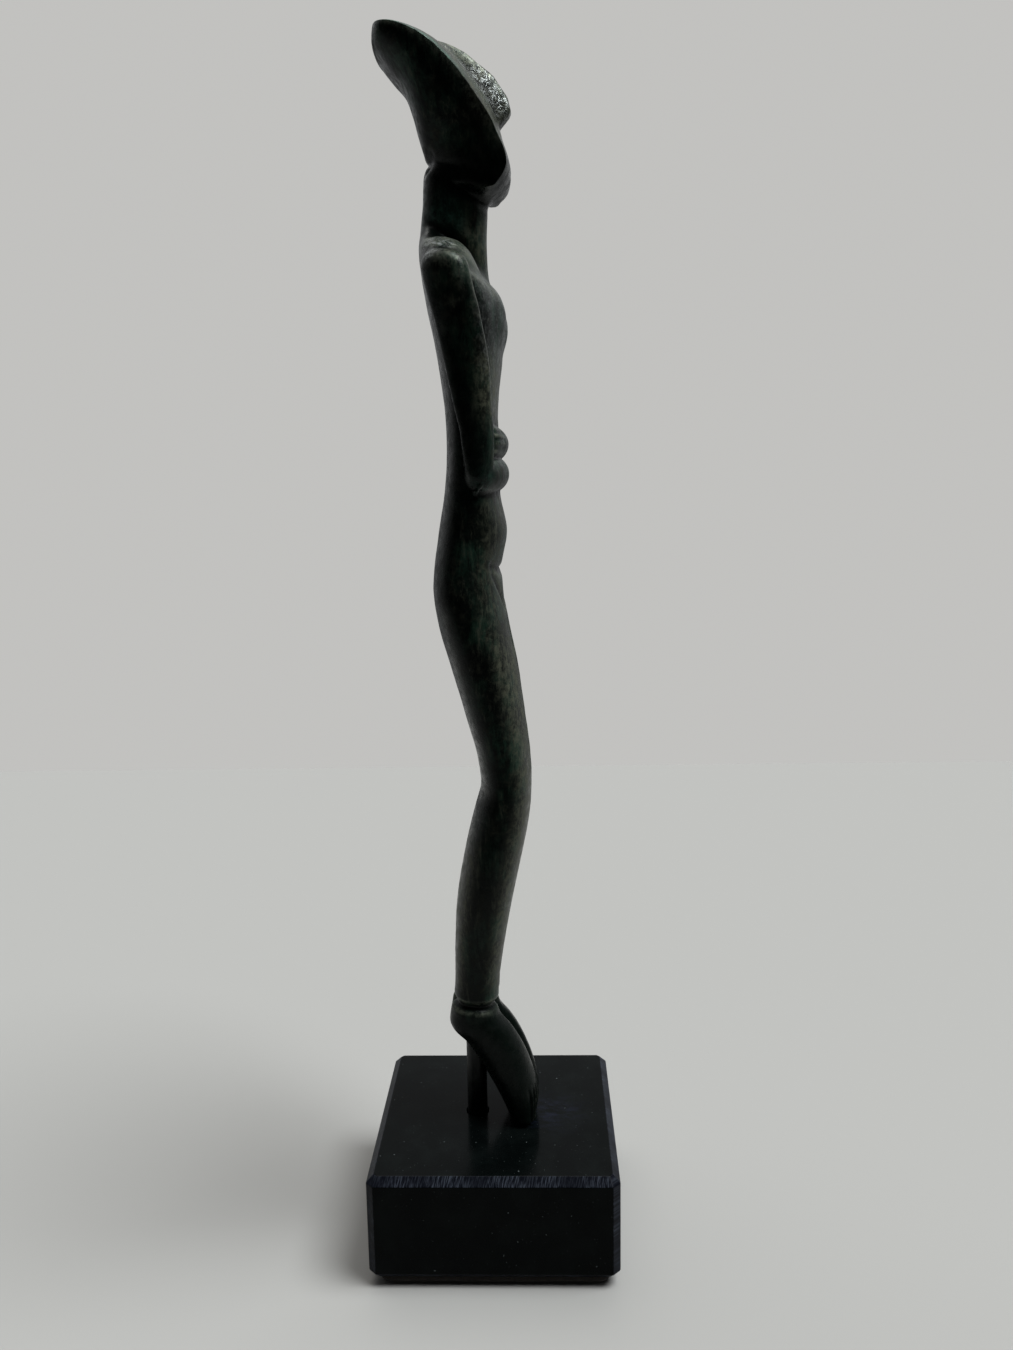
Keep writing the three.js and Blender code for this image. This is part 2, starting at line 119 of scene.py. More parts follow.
def curve_through(marks, values, places):
    """Cubic curves through values at marks, read at places.

    A mark's slope is the mean of the slopes before and after it, each weighted by the other's length."""
    slopes = np.diff(values, axis=0) / np.diff(marks)[:, None]
    gaps = np.diff(marks)
    tangents = np.empty_like(values)
    tangents[0] = slopes[0]
    tangents[-1] = slopes[-1]
    both = (gaps[:-1] + gaps[1:])[:, None]
    tangents[1:-1] = (slopes[:-1] * gaps[1:, None] + slopes[1:] * gaps[:-1, None]) / both
    held = np.clip(places, marks[0], marks[-1])
    before = np.clip(np.searchsorted(marks, held, side="right") - 1, 0, len(marks) - 2)
    gap = (marks[before + 1] - marks[before])[:, None]
    s = (held - marks[before])[:, None] / gap
    start = values[before] * (1 + 2 * s) * (1 - s) ** 2
    end = values[before + 1] * s * s * (3 - 2 * s)
    leave = tangents[before] * gap * s * (1 - s) ** 2
    arrive = tangents[before + 1] * gap * s * s * (s - 1)
    return start + end + leave + arrive


def path_distance(points, path):
    """Distance from each point to a path of straight pieces, and the share of the pieces passed there."""
    corners = np.array(path, float)
    best = np.full(points.shape[:-1], np.inf)
    share = np.zeros(points.shape[:-1])
    for index, (start, end) in enumerate(zip(corners[:-1], corners[1:])):
        line = end - start
        along = np.clip(((points - start) @ line) / (line @ line), 0.0, 1.0)
        distance = np.linalg.norm(points - (start + along[..., None] * line), axis=-1)
        nearer = distance < best
        share = np.where(nearer, (index + along) / (len(corners) - 1), share)
        best = np.where(nearer, distance, best)
    return best, share


def dome(distance, radius, power, soft=0.05):
    """One minus the squared share of the radius, kept above 0 with a small soft foot, to a power."""
    inside = 1.0 - (distance / radius) ** 2
    return (0.5 * (inside + np.sqrt(inside * inside + soft * soft))) ** power * (inside > -0.6)


def flat_band(distance, radius):
    """1 over a path and flat almost to the edge of the band, where it drops like a rounded corner."""
    return np.sqrt(np.clip(1.0 - (distance / radius) ** 5, 0.0, 1.0))


def groove(distance, width):
    """A bell curve: 1 on the line, falling away with the square of the distance over the width."""
    return np.exp(-(distance / width) ** 2)


def lattice_noise(points, size, seed):
    """Smooth random values from -1 to 1: random numbers on a lattice of this size, blended between."""
    cells = 48
    away_from_zero = 1000.0
    table = np.random.default_rng(seed).uniform(-1.0, 1.0, (cells, cells, cells))
    place = points / size + away_from_zero
    corner = np.floor(place).astype(int)
    share = place - corner
    share = share * share * (3.0 - 2.0 * share)
    value = np.zeros(points.shape[:-1])
    for step in np.ndindex(2, 2, 2):
        weight = np.where(step, share, 1 - share)
        index = (corner + step) % cells
        value += weight[..., 0] * weight[..., 1] * weight[..., 2] * table[tuple(np.moveaxis(index, -1, 0))]
    return value


def mesh_from_grid(name, grid, first_pole, last_pole):
    """A closed mesh: rows of the grid joined by quads round and round, and a fan to a pole at each end."""
    rows, columns, _ = grid.shape
    points = np.vstack([grid.reshape(-1, 3), first_pole, last_pole])
    ids = np.arange(rows * columns).reshape(rows, columns)
    onward = np.roll(ids, -1, axis=1)
    quads = np.stack([ids[:-1], onward[:-1], onward[1:], ids[1:]], axis=-1).reshape(-1, 4)
    first = rows * columns
    start_fan = np.stack([np.full(columns, first), onward[0], ids[0]], axis=-1)
    end_fan = np.stack([np.full(columns, first + 1), ids[-1], onward[-1]], axis=-1)
    mesh = bpy.data.meshes.new(name)
    mesh.from_pydata(points.tolist(), [], quads.tolist() + start_fan.tolist() + end_fan.tolist())
    mesh.validate()
    return mesh


def piece_from_mesh(name, mesh, smooth=True):
    """A new object at the origin with this mesh, linked to the scene."""
    mesh.polygons.foreach_set("use_smooth", np.full(len(mesh.polygons), smooth))
    mesh.update()
    piece = bpy.data.objects.new(name, mesh)
    bpy.context.scene.collection.objects.link(piece)
    return piece


def add_point_value(mesh, name, values):
    """Stores one number per vertex under a name that a material can read."""
    attribute = mesh.attributes.new(name, "FLOAT", "POINT")
    attribute.data.foreach_set("value", np.asarray(values, np.float32))


# %% [markdown]
# ## The casting: its body
#
# The figure is one casting, so it is one surface. Think of a ladder seen from the side: each rung runs
# from a point on the back to a point on the front, and the rungs tip with the head, the neckline and
# the feet. Each rung also has a half width, a place where it is widest, a squareness and a sharpness for
# the edge of the face. A smooth curve through the rungs gives as many slices as we like, and each
# slice is a squarish oval.

# %% Rungs of the body, from crown to toes
# name: back forward, back height, front forward, front height, half width, square, widest, edge
# Below the face a rung is widest half way along and has no edge, so the last two are left out.
BODY_RUNGS = {
    "crown": (-18.2, 211.0, -16.9, 215.6, 11.5, 2.5, 0.66, 0.9),
    "high brow": (-16.1, 208.3, -12.3, 215.2, 12.6, 2.4, 0.67, 0.9),
    "brow": (-13.7, 205.3, -7.4, 213.3, 13.3, 2.3, 0.70, 1.0),
    "nose bridge": (-12.0, 201.1, -1.4, 207.6, 13.3, 2.3, 0.77, 1.0),
    "nose tip": (-10.9, 196.9, 3.0, 201.6, 12.1, 2.3, 0.82, 1.0),
    "mouth": (-10.1, 194.1, 4.8, 196.1, 10.3, 2.3, 0.92, 1.0),
    "jaw": (-9.7, 193.0, 5.9, 189.3, 8.8, 2.3, 0.965, 0.95),
    "chin": (-9.3, 192.4, 4.7, 187.6, 8.1, 2.2, 0.96, 0.8),
    "throat": (-9.9, 191.6, 2.7, 186.1, 7.4, 2.1, 0.9, 0.4),
    "under jaw": (-10.2, 190.8, 1.9, 185.0, 6.1, 2.0),
    "neck top": (-10.4, 188.7, 1.6, 182.7, 6.0, 2.0),
    "neck": (-10.6, 185.1, 1.4, 176.3, 6.1, 2.0),
    "neck base": (-11.0, 181.7, 1.8, 171.0, 6.6, 2.0),
    "collar": (-11.2, 179.6, 2.4, 169.6, 10.5, 2.1),
    "shoulder top": (-11.3, 177.2, 3.0, 168.3, 17.4, 2.2),
    "shoulder": (-11.2, 174.6, 3.6, 167.0, 21.1, 2.3),
    "upper arm": (-10.9, 171.8, 4.1, 165.3, 21.8, 2.3),
    "breast": (-10.2, 167.1, 4.4, 162.9, 21.2, 2.4),
    "ribs": (-8.7, 158.9, 3.9, 157.3, 19.2, 2.4),
    "midriff": (-7.2, 147.7, 2.9, 147.7, 17.2, 2.4),
    "elbow": (-7.0, 138.3, 2.9, 138.3, 16.2, 2.4),
    "waist": (-7.6, 131.7, 3.0, 131.7, 15.0, 2.4),
    "belly": (-9.0, 123.9, 4.3, 123.9, 14.8, 2.4),
    "loin": (-10.0, 117.5, 3.2, 117.5, 15.6, 2.4),
    "hip": (-10.3, 112.7, 3.3, 112.7, 16.4, 2.4),
    "seat": (-9.6, 106.7, 4.2, 106.7, 16.4, 2.4),
    "thigh": (-7.1, 96.9, 6.1, 96.9, 15.2, 2.4),
    "low thigh": (-4.4, 87.0, 7.4, 87.0, 13.7, 2.4),
    "above knee": (-2.3, 78.5, 8.4, 78.5, 12.5, 2.4),
    "knee": (-1.8, 73.3, 8.6, 73.3, 12.1, 2.4),
    "below knee": (-3.4, 67.1, 8.1, 67.1, 11.9, 2.4),
    "calf": (-5.6, 58.3, 6.4, 58.3, 11.6, 2.4),
    "low calf": (-7.3, 48.5, 4.3, 48.5, 10.5, 2.4),
    "shin": (-8.0, 38.8, 2.5, 38.8, 8.7, 2.4),
    "ankle": (-8.5, 28.1, 1.2, 27.7, 7.1, 2.4),
    "foot top": (-9.2, 24.5, 1.3, 23.5, 7.2, 2.5),
    "heel": (-9.5, 21.5, 3.5, 20.7, 7.4, 2.6),
    "arch": (-6.6, 17.9, 6.0, 16.5, 7.3, 2.6),
    "sole": (-3.0, 12.5, 8.2, 10.7, 7.3, 2.6),
    "toes": (0.7, 5.5, 9.2, 4.7, 7.4, 2.6),
    "toe end": (2.4, 1.9, 8.7, 1.3, 7.4, 2.8),
}
CROWN_CAP = 1.0
CROWN_ROUND = 5.0
CROWN_POWER = 4.0
TOE_CAP = 1.7
TOE_POWER = 5.0
CAP_POWER = 2.6

rung_values = np.array([(*rung, 0.5, 0.0)[:8] for rung in BODY_RUNGS.values()])
rung_middles = (rung_values[:, 0:2] + rung_values[:, 2:4]) / 2
rung_places = np.append(0.0, np.cumsum(np.linalg.norm(np.diff(rung_middles, axis=0), axis=1)))
body_length = rung_places[-1]
place_of = dict(zip(BODY_RUNGS, rung_places))
print("rungs:", len(BODY_RUNGS), "length of the body's middle line in mm:", round(body_length, 1))

# %% Where the slices and the columns lie
# Carved stretches get more slices to a millimetre than plain ones: (rung it starts at, slices a mm).
SLICE_DENSITY = (
    ("crown", 3.0),
    ("nose bridge", 2.9),
    ("neck top", 2.2),
    ("ribs", 1.9),
    ("midriff", 3.2),
    ("waist", 2.0),
    ("seat", 1.5),
    ("shin", 2.4),
    ("foot top", 2.9),
)
COLUMNS = 176
END_SLICES = 12


def even_places(density, start, end, count):
    """Places from start to end, closer where the density is higher: equal steps of its running sum."""
    fine = np.linspace(start, end, 4000)
    running = np.append(0.0, np.cumsum(density(fine)[:-1] * np.diff(fine)))
    return np.interp(np.linspace(0.0, running[-1], count), running, fine)


def slice_density(places):
    starts = [place_of[name] for name, _ in SLICE_DENSITY]
    values = np.array([value for _, value in SLICE_DENSITY])
    return values[np.clip(np.searchsorted(starts, places, side="right") - 1, 0, len(values) - 1)]


def column_density(turns):
    """Columns gather at the front, where the nose is, and at the front edges of both arms."""
    front = np.exp(-((turns - 0.25) / 0.06) ** 2)
    arms = np.exp(-((turns - 0.07) / 0.07) ** 2) + np.exp(-((turns - 0.43) / 0.07) ** 2)
    return 0.8 + 0.9 * front + 0.5 * arms


slice_count = int(sum(
    value * (place_of.get(end, body_length) - place_of[name])
    for (name, value), end in zip(SLICE_DENSITY, [name for name, _ in SLICE_DENSITY[1:]] + [None])
))
between_ends = even_places(slice_density, 0.0, body_length, slice_count)
cap_shares = 1.0 - (np.arange(1, END_SLICES + 1) / (END_SLICES + 1)) ** 2
slice_places = np.concatenate([
    -CROWN_CAP * cap_shares,
    between_ends,
    body_length + TOE_CAP * cap_shares[::-1],
])
column_turns = even_places(column_density, 0.0, 1.0, COLUMNS + 1)[:-1]
print("slices:", len(slice_places), "columns:", COLUMNS, "faces:", len(slice_places) * COLUMNS)


# %% The plain body
def plain_body(places, turns):
    """Points (left, forward, height) in mm for each slice and column.

    A slice is a squarish oval: across it goes with the cosine and along the rung with the sine, each to
    the power two over the squareness. A sharp face edge mixes in a parabola on the front half."""
    table = curve_through(rung_places, rung_values, places)
    middle = (table[:, 0:2] + table[:, 2:4]) / 2
    half = (table[:, 2:4] - table[:, 0:2]) / 2
    over_crown = np.clip(-places, 0.0, None)
    over_toes = np.clip(places - body_length, 0.0, None)
    upward = rung_middles[0] - rung_middles[1]
    downward = rung_middles[-1] - rung_middles[-2]
    middle = middle + over_crown[:, None] * upward / np.linalg.norm(upward)
    middle = middle + over_toes[:, None] * downward / np.linalg.norm(downward)
    crown_share = np.clip(over_crown / CROWN_CAP, 0.0, 1.0)
    toe_share = np.clip(over_toes / TOE_CAP, 0.0, 1.0)
    corner_share = np.clip(1.0 - (places + CROWN_CAP) / (CROWN_CAP + CROWN_ROUND), 0.0, 1.0)

    def round_off(share, power):
        return (1.0 - share ** power) ** (1.0 / power)

    depth_scale = round_off(crown_share, CAP_POWER) * round_off(toe_share, CAP_POWER)
    width_scale = round_off(corner_share, CROWN_POWER) * round_off(toe_share, TOE_POWER)
    half = half * depth_scale[:, None]
    half_width, square, widest, edge = (table[:, k:k + 1] for k in range(4, 8))
    half_width = half_width * width_scale[:, None]
    cosine = np.cos(2 * np.pi * turns)[None, :]
    sine = np.sin(2 * np.pi * turns)[None, :]
    sideways = np.abs(cosine) ** (2.0 / square)
    rounded = np.abs(sine) ** (2.0 / square)
    shield = (1.0 - edge) * rounded + edge * (1.0 - sideways ** 2)
    widest_at = 2.0 * widest - 1.0
    along = np.where(sine >= 0, widest_at + (2.0 - 2.0 * widest) * shield, widest_at - 2.0 * widest * rounded)
    across = half_width * np.sign(cosine) * sideways
    return np.stack([
        across,
        middle[:, 0:1] + half[:, 0:1] * along,
        middle[:, 1:2] + half[:, 1:2] * along,
    ], axis=-1)


def grid_normals(grid):
    """Outward unit normals: the cross product of the steps down the slices and round the columns."""
    down = np.gradient(grid, axis=0)
    onward = np.roll(grid, -1, axis=1) - np.roll(grid, 1, axis=1)
    normals = np.cross(down, onward)
    length = np.linalg.norm(normals, axis=-1, keepdims=True)
    return normals / np.maximum(length, 1e-9)


body = plain_body(slice_places, column_turns)
body_normals = grid_normals(body)
body_height = body[..., 2]
facing_front = np.sin(2 * np.pi * column_turns)[None, :] * np.ones(body.shape[:2])
print("body spans in mm:", np.ptp(body.reshape(-1, 3), axis=0).round(1))

# %% [markdown]
# ## The casting: its carving
#
# The arms, the nose and the grooves are low relief on that body, as they were on the wax model. Each is
# a height over the surface, worked out from the distance to a short path, and all of them are added up
# and laid along the body's normals. Real geometry catches the light on its ledges and shows in outline.

# %% Paths of the carving, in mm
UPPER_ARM = (
    (21.2, -6.5, 172.1), (20.6, -3.8, 163.1), (18.4, -1.5, 153.1), (16.9, 0.3, 143.1), (16.2, 0.7, 135.6),
)
ELBOW_CORNER = ((16.3, 1.0, 134.2), (16.0, -0.6, 131.7))
RIGHT_FOREARM = (
    (-15.8, 0.4, 134.5), (-12.0, 2.0, 134.6), (-5.0, 3.0, 135.1), (4.0, 3.0, 135.1), (11.5, 2.4, 135.3),
)
LEFT_FOREARM = (
    (15.8, -0.6, 140.3), (12.0, 2.0, 140.7), (5.0, 3.0, 140.9), (-4.0, 3.0, 140.9), (-11.5, 2.4, 141.1),
)
BELLY_CREASE = (
    (-11.0, 1.0, 117.7), (-5.0, 2.6, 116.7), (0.0, 3.0, 116.3), (5.0, 2.6, 116.7), (11.0, 1.0, 117.7),
)
GROIN_LINE = ((10.5, 1.2, 115.7), (5.5, 3.0, 112.1), (0.0, 3.9, 108.1))
NOSE_START = np.array((0.0, -10.0, 215.3))
NOSE_END = np.array((0.0, 3.6, 200.1))
SHOULDER_LEDGE = ((20.0, -9.4, 174.2), (20.6, -7.0, 173.3))
SHOULDER_CAP = ((15.0, -9.5, 177.4), (16.0, -5.5, 175.8))
GOUGES = (
    ((-23.0, -6.3, 168.6), (-23.0, -5.0, 167.4)),
    ((-23.0, -5.2, 169.8), (-23.0, -4.2, 169.2)),
    ((-22.6, -4.2, 166.6), (-22.6, -3.7, 165.6)),
    ((-5.0, -9.4, 192.6), (-2.0, -10.2, 191.2)),
)

# %% Sizes of the carving, in mm
ARM_HEIGHT = 2.0
UPPER_ARM_RADIUS = 4.3
UPPER_ARM_TAPER = 0.9
ELBOW_RADIUS = 2.7
ELBOW_TAPER = 1.3
RIGHT_FOREARM_RADIUS = 3.1
LEFT_FOREARM_RADIUS = 2.9
BREAST = {"centre": (8.0, 4.2, 164.5), "rise": 0.85, "radius": 7.6}
SHOULDER_TOP = {"centre": (12.5, -2.6, 176.0), "rise": 2.9, "radius": 8.0}
LEG_CLEFT_DEPTH = 1.9
SPINE_DEPTH = 0.7
ANKLE_LEVEL = 26.3
TOE_GAPS = (2.7, 4.1, 5.3, 6.4)
TOE_CUT_DEPTH = 0.45
FINGER_CUT_DEPTH = 0.22
GOUGE_DEPTH = 0.30


def on_side(path, side):
    """The same path on the left (1) or the right (-1) of the figure."""
    return tuple((side * x, y, z) for x, y, z in path)


# %% Heights of the carving
def arms(points, front):
    """Rounded bands 2 mm high: the upper arms fade in below the shoulders, the forearms cross the front."""
    shown = smooth_step(174.5, 170.5, points[..., 2])
    height = np.zeros(points.shape[:-1])
    for side in (-1, 1):
        distance, share = path_distance(points, on_side(UPPER_ARM, side))
        upper_arm = flat_band(distance, UPPER_ARM_RADIUS - UPPER_ARM_TAPER * share)
        height = np.maximum(height, ARM_HEIGHT * shown * upper_arm)
        distance, share = path_distance(points, on_side(ELBOW_CORNER, side))
        height = np.maximum(height, ARM_HEIGHT * flat_band(distance, ELBOW_RADIUS - ELBOW_TAPER * share))
    for path, radius in ((RIGHT_FOREARM, RIGHT_FOREARM_RADIUS), (LEFT_FOREARM, LEFT_FOREARM_RADIUS)):
        distance, _ = path_distance(points, path)
        height = np.maximum(height, ARM_HEIGHT * dome(distance, radius, 0.7) * (front > -0.3))
    return height


def paired_swelling(points, centre, rise, radius):
    """A low dome round a point on the left and one round its mirror point on the right."""
    height = np.zeros(points.shape[:-1])
    for side in (-1, 1):
        distance = np.linalg.norm(points - np.array((side * centre[0], *centre[1:])), axis=-1)
        height += rise * dome(distance, radius, 2.0, soft=0.0)
    return height


def lap_lines(points):
    """The crease under the belly and the two lines that run down from it to the legs."""
    crease, _ = path_distance(points, BELLY_CREASE)
    depth = 0.9 * groove(crease, 1.0)
    for side in (-1, 1):
        distance, _ = path_distance(points, on_side(GROIN_LINE, side))
        depth += 0.8 * groove(distance, 0.9)
    return depth


def middle_line(points, front):
    """The cleft between the legs in front and behind, and the groove of the spine above it."""
    height = points[..., 2]
    line = groove(points[..., 0], 1.1)
    in_front = LEG_CLEFT_DEPTH * smooth_step(109.0, 100.0, height)
    behind = LEG_CLEFT_DEPTH * between(height, 0.0, 8.0, 108.0, 116.0)
    spine = SPINE_DEPTH * between(height, 118.0, 126.0, 174.0, 181.0)
    return line * np.where(front > 0, in_front, behind + spine)


def ankle_groove(points):
    """A groove 1 mm deep round both ankles, a little lower in front than behind."""
    level = ANKLE_LEVEL - 0.09 * (points[..., 1] + 4.0)
    return groove(points[..., 2] - level, 0.8)


def nose(points, front):
    """A long wedge with a rounded ridge: it rises down the face and stops short above the mouth."""
    line = NOSE_END - NOSE_START
    share = ((points - NOSE_START) @ line) / (line @ line)
    ridge = np.interp(share, (0.0, 0.2, 0.4, 0.7, 0.9, 1.0, 1.07), (0.0, 1.2, 2.5, 3.4, 3.5, 3.0, 0.0))
    half = np.interp(share, (0.0, 1.0), (1.6, 3.1))
    flank = np.clip(1.5 * (1.0 - np.abs(points[..., 0]) / half), 0.0, 1.0)
    flank = flank * flank * (3.0 - 2.0 * flank)
    return np.where((front > 0) & (share > 0), ridge * flank, 0.0)


def toe_lines(points, front):
    """Four short cuts down the front of each foot part its toes."""
    depth = np.zeros(points.shape[:-1])
    length = smooth_step(9.0, 5.0, points[..., 2])
    for side in (-1, 1):
        for place in TOE_GAPS:
            depth += TOE_CUT_DEPTH * groove(points[..., 0] - side * place, 0.28) * length
    return depth * (front > 0.1)


def finger_lines(points):
    """Three short cuts at the end of each forearm part the fingers."""
    depth = np.zeros(points.shape[:-1])
    for side, level, radius in ((1, 135.3, 2.9), (-1, 141.1, 2.7)):
        reach = between(side * points[..., 0], 6.0, 8.0, 12.5, 14.0)
        for step in (-0.5, 0.0, 0.5):
            depth += FINGER_CUT_DEPTH * groove(points[..., 2] - level - step * radius, 0.3) * reach
    return depth


def nicks(points):
    """Small gouges: three under the right shoulder's cap and one at the nape, as handling leaves."""
    depth = np.zeros(points.shape[:-1])
    for gouge in GOUGES:
        distance, _ = path_distance(points, gouge)
        depth += GOUGE_DEPTH * groove(distance - 1.1, 0.55) * (distance < 2.6)
    return depth


def carving(points, front):
    """Everything raised on the body less everything cut into it, in mm."""
    raised = arms(points, front) + paired_swelling(points, **BREAST)
    raised = raised + paired_swelling(points, **SHOULDER_TOP) + nose(points, front)
    cut = lap_lines(points) + middle_line(points, front) + ankle_groove(points)
    cut = cut + toe_lines(points, front) + finger_lines(points) * (front > 0) + nicks(points)
    return raised - cut


relief = carving(body, facing_front)
carved = body + body_normals * relief[..., None]
print("carving from", relief.min().round(2), "to", relief.max().round(2), "mm")

# %% [markdown]
# ## The casting: its skin
#
# Cast and filed bronze is never quite smooth. Low waves a few millimetres long are left by the file, and
# a finer grain by the mould. On the nose and the tops of the shoulders the file was not used, and the
# skin is rough. These waves are real geometry too, and the finest grain is left to the material.


# %% Waves and grain
def near(points, centre, radius):
    """1 at the centre and 0 beyond the radius, with a smooth fall."""
    return smooth_step(radius, 0.3 * radius, np.linalg.norm(points - np.array(centre), axis=-1))


def near_both(points, centre, radius):
    """The same round a point on the left and round its mirror point on the right."""
    return np.maximum(near(points, centre, radius), near(points, (-centre[0], *centre[1:]), radius))


def rough_places(points, front):
    """How rough the skin is: most on the nose, the shoulders and a corner of the crown, less on the chest."""
    rough = near(points, (0.0, 1.5, 204.0), 9.0)
    for side in (-1, 1):
        for line, reach in ((SHOULDER_LEDGE, 2.6), (SHOULDER_CAP, 3.5)):
            distance, _ = path_distance(points, on_side(line, side))
            rough = np.maximum(rough, smooth_step(reach, 1.2, distance))
    chest = between(points[..., 2], 148.0, 154.0, 167.0, 171.0)
    rough = np.maximum(rough, 0.18 * chest * smooth_step(0.1, 0.4, front))
    return np.maximum(rough, 0.8 * near(points, (-9.5, -17.5, 214.5), 3.5))


# Each layer of noise: its height in mm, the size of its waves in mm, and its seed.
FILE_WAVES = ((0.05, 4.6, 11), (0.028, 2.1, 12), (0.016, 1.1, 13))
COARSE_GRAIN = ((0.13, 1.7, 14), (0.07, 0.9, 15))


def layers(points, waves):
    """The sum of some layers of noise, in mm."""
    return sum(height * lattice_noise(points, size, seed) for height, size, seed in waves)


rough = rough_places(body, facing_front)
skin = layers(body, FILE_WAVES) + rough * layers(body, COARSE_GRAIN)
figure_grid = carved + body_normals * skin[..., None]
print("skin from", skin.min().round(2), "to", skin.max().round(2), "mm")


# %% Where the skin is worn, where highlights are painted, and where hollows are darker
def bulge(grid, normals, reach):
    """How far each point stands out from the mean of its neighbours a few steps away, in mm."""
    above = np.vstack([np.repeat(grid[:1], reach, axis=0), grid[:-reach]])
    below = np.vstack([grid[reach:], np.repeat(grid[-1:], reach, axis=0)])
    left = np.roll(grid, reach, axis=1)
    right = np.roll(grid, -reach, axis=1)
    mean = (above + below + left + right) / 4
    return np.einsum("ijk,ijk->ij", grid - mean, normals)


carved_normals = grid_normals(carved)
bulges = bulge(carved, carved_normals, 3)
narrow_bulges = bulge(carved, carved_normals, 2)
# The wear value is partly real rubbing on the ridges and partly painted highlight: a line along the face's
# edge, the collar's lit ridge and a rim of light down the back. The arms' shaded back halves get little of
# it.
face_edge = np.exp(-(facing_front / 0.09) ** 2) * smooth_step(190.0, 196.0, body_height)
collar_highlight = np.exp(-((slice_places - place_of["shoulder"] - 0.5) / 1.2) ** 2)[:, None]
collar_highlight = collar_highlight * smooth_step(0.10, 0.35, facing_front)
arm_middle = np.interp(body_height, (135.0, 143.0, 153.0, 163.0, 172.0), (0.7, 0.3, -1.5, -3.8, -6.5))
arm_back = smooth_step(0.8, -1.8, body[..., 1] - arm_middle)
arm_back = arm_back * between(body_height, 128.0, 131.0, 172.5, 175.0)
wear_and_highlight = np.maximum(smooth_step(0.05, 0.16, narrow_bulges) * (1.0 - 0.9 * arm_back), 0.8 * face_edge)
wear_and_highlight = np.maximum(wear_and_highlight, collar_highlight)
back_rim_light = smooth_step(-0.55, -0.85, facing_front) * between(body_height, 136.0, 146.0, 176.0, 182.0)
wear_and_highlight = np.maximum(wear_and_highlight, 0.55 * back_rim_light)
wear_and_highlight = wear_and_highlight * (1.0 - 0.7 * near_both(body, (21.0, -3.0, 170.5), 6.0))
hollow = smooth_step(-0.03, -0.22, bulges)
print("worn share:", wear_and_highlight.mean().round(3), "hollow share:", hollow.mean().round(3))


# %% Where the patina is pale or teal, with painted light and painted shade
def pale_rub_and_light_places(points, front):
    """Paler patina, partly rubbed and partly painted light: the face and the lower chest palest, then the
    neck's front, the legs and the calves.
    """
    height = points[..., 2]
    facing = smooth_step(0.02, 0.25, front)
    on_face = facing * smooth_step(190.0, 196.0, height)
    on_chest = facing * between(height, 142.0, 148.0, 152.0, 160.0)
    on_legs = 0.80 * smooth_step(0.05, 0.7, front) * between(height, 27.0, 34.0, 98.0, 114.0)
    on_neck = 0.80 * smooth_step(0.1, 0.6, front) * between(height, 170.0, 174.0, 179.0, 185.0)
    on_belly = 0.40 * smooth_step(0.05, 0.6, front) * smooth_step(136.0, 128.0, height)
    on_legs = np.maximum(on_legs, on_belly * smooth_step(98.0, 108.0, height))
    pale_rub_and_light = np.maximum(np.maximum(on_face, on_neck), np.maximum(on_chest, on_legs))
    on_calves = 0.80 * smooth_step(-0.25, -0.7, front) * between(height, 27.0, 34.0, 54.0, 66.0)
    return np.maximum(pale_rub_and_light, on_calves)


def teal_places(points):
    """Teal copper salts sit on the elbows and on the sides of the neck."""
    on_elbows = 0.65 * near_both(points, (16.6, 0.0, 132.8), 5.0)
    return np.maximum(on_elbows, 0.5 * near_both(points, (6.0, -6.0, 182.0), 5.5))


pale_rub_and_light = pale_rub_and_light_places(body, facing_front)
# Painted light: the tops of the shoulders are paler where the light falls on them, as well as rubbed.
on_shoulders = smooth_step(8.0, 11.0, np.abs(body[..., 0])) * between(body_height, 165.0, 168.0, 181.0, 184.0)
shoulder_places = smooth_step(place_of["upper arm"] + 0.5, place_of["shoulder"] - 0.5, slice_places)[:, None]
pale_rub_and_light = np.maximum(pale_rub_and_light, 0.55 * on_shoulders * shoulder_places)
# A painted highlight: a teal line along the top of the face's edge.
face_edge_highlight = smooth_step(-0.04, 0.02, facing_front) * smooth_step(0.7, 0.25, facing_front)
teal = np.maximum(teal_places(body), face_edge_highlight * smooth_step(202.0, 208.0, body_height))
# Painted shade: black under the jaw, where the head's shadow falls, on the back halves of the arms, on the
# sides towards the back, on the shins' sides and on the feet, where little light reaches.
jaw_start, jaw_end = place_of["mouth"] + 0.2, place_of["jaw"] + 0.4
neck_start, neck_end = place_of["under jaw"], place_of["neck top"] + 1.5
under_jaw = between(slice_places, jaw_start, jaw_end, neck_start, neck_end)[:, None]
sides_back = 0.6 * smooth_step(0.0, -0.45, facing_front) * between(body_height, 58.0, 70.0, 172.0, 178.0)
shin_middle = 0.6 * np.exp(-(facing_front / 0.35) ** 2) * smooth_step(68.0, 58.0, body_height)
painted_shade = np.maximum(smooth_step(27.0, 22.5, body_height), 0.9 * under_jaw)
painted_shade = np.maximum(np.maximum(painted_shade, 0.85 * arm_back), np.maximum(sides_back, shin_middle))
print("pale, teal and sooty shares:", [part.mean().round(3) for part in (pale_rub_and_light, teal, painted_shade)])

# %% Into the CAD model's place
figure_low, figure_high = span("figurine")
drawn_low = figure_grid[..., 2].min()
growth = (figure_high[2] - figure_low[2]) / np.ptp(figure_grid[..., 2])


def to_frame(points):
    """Drawn millimetres to metres in the CAD frame: forward becomes -Y, and the toes meet the CAD's toes."""
    placed = np.empty(points.shape)
    placed[..., 0] = points[..., 0] * growth
    placed[..., 1] = -points[..., 1] * growth
    placed[..., 2] = figure_low[2] + (points[..., 2] - drawn_low) * growth
    return placed


